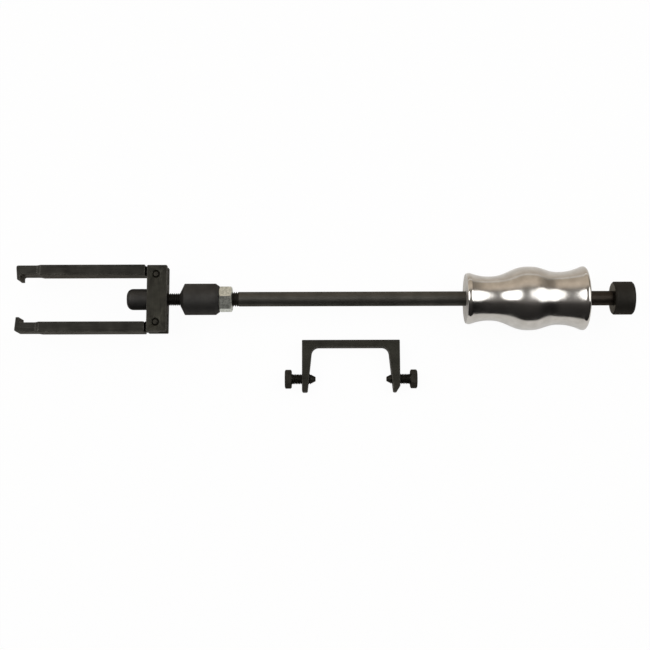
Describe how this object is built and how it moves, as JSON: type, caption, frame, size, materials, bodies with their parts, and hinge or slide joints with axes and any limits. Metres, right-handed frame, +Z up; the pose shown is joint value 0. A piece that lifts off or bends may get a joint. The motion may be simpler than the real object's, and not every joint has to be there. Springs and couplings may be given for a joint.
{
  "type": "injector puller",
  "caption": "Two-legged puller with a slide hammer for drawing seized fuel injectors, with the separate clamp frame that presses its legs together.",
  "frame": {"origin": "centre of the bounding box on the surface that the tool and its clamp frame lie on", "axes": "+X along the tool from the hooks to the end stop, +Y across the legs from the lower leg to the upper leg, with the clamp frame on the minus Y side, +Z up; the tool's axis runs along X at y = 27.5 mm and z = 30.5 mm"},
  "size_m": [0.587, 0.1194, 0.061],
  "materials": {
    "black_oxide_steel": "black oxide, oiled",
    "bright_steel": "ground",
    "zinc_plated_steel": "zinc plated",
    "polished_steel": "turned and polished"
  },
  "bodies": {
    "yoke": {"yoke": "black_oxide_steel", "upper_leg_pin": "black_oxide_steel", "lower_leg_pin": "black_oxide_steel"},
    "upper_leg": {"upper_leg": "black_oxide_steel"},
    "lower_leg": {"lower_leg": "black_oxide_steel"},
    "thrust_cap": {"thrust_cap": "black_oxide_steel", "cap_ring": "bright_steel", "thrust_ball": "bright_steel"},
    "spindle": {"spindle": "black_oxide_steel", "coupling": "black_oxide_steel", "lock_nut": "zinc_plated_steel", "slide_rod": "black_oxide_steel", "end_stop": "black_oxide_steel"},
    "hammer_weight": {"hammer_weight": "polished_steel"},
    "clamp_frame": {"clamp_frame": "black_oxide_steel"},
    "left_clamp_screw": {"left_clamp_screw": "black_oxide_steel"},
    "right_clamp_screw": {"right_clamp_screw": "black_oxide_steel"}
  },
  "joints": [
    {"name": "upper_leg_swing", "type": "hinge", "parent": "yoke", "child": "upper_leg", "pos_m": [-0.1603, 0.0505, 0.0305], "axis": [0, 0, -1], "range_deg": [-7, 15]},
    {"name": "lower_leg_swing", "type": "hinge", "parent": "yoke", "child": "lower_leg", "pos_m": [-0.1603, 0.0045, 0.0305], "axis": [0, 0, 1], "range_deg": [-7, 15]},
    {"name": "spindle_feed", "type": "slide", "parent": "yoke", "child": "thrust_cap", "axis": [-1, 0, 0], "range_m": [0, 0.0105]},
    {"name": "spindle_turn", "type": "hinge", "parent": "thrust_cap", "child": "spindle", "pos_m": [-0.1603, 0.0275, 0.0305], "axis": [-1, 0, 0], "range_deg": [0, 2160]},
    {"name": "hammer_slide", "type": "slide", "parent": "spindle", "child": "hammer_weight", "axis": [1, 0, 0], "range_m": [-0.222, 0.025]},
    {"name": "frame_lift", "type": "slide", "parent": "yoke", "child": "clamp_frame", "axis": [0, 0, 1], "range_m": [0, 0.06]},
    {"name": "left_screw_feed", "type": "slide", "parent": "clamp_frame", "child": "left_clamp_screw", "axis": [1, 0, 0], "range_m": [-0.0055, 0.0095]},
    {"name": "right_screw_feed", "type": "slide", "parent": "clamp_frame", "child": "right_clamp_screw", "axis": [-1, 0, 0], "range_m": [-0.0055, 0.0095]}
  ],
  "couplings": [
    {"joint": "spindle_feed", "follows": "spindle_turn", "m_per_rad": 0.00027852}
  ]
}
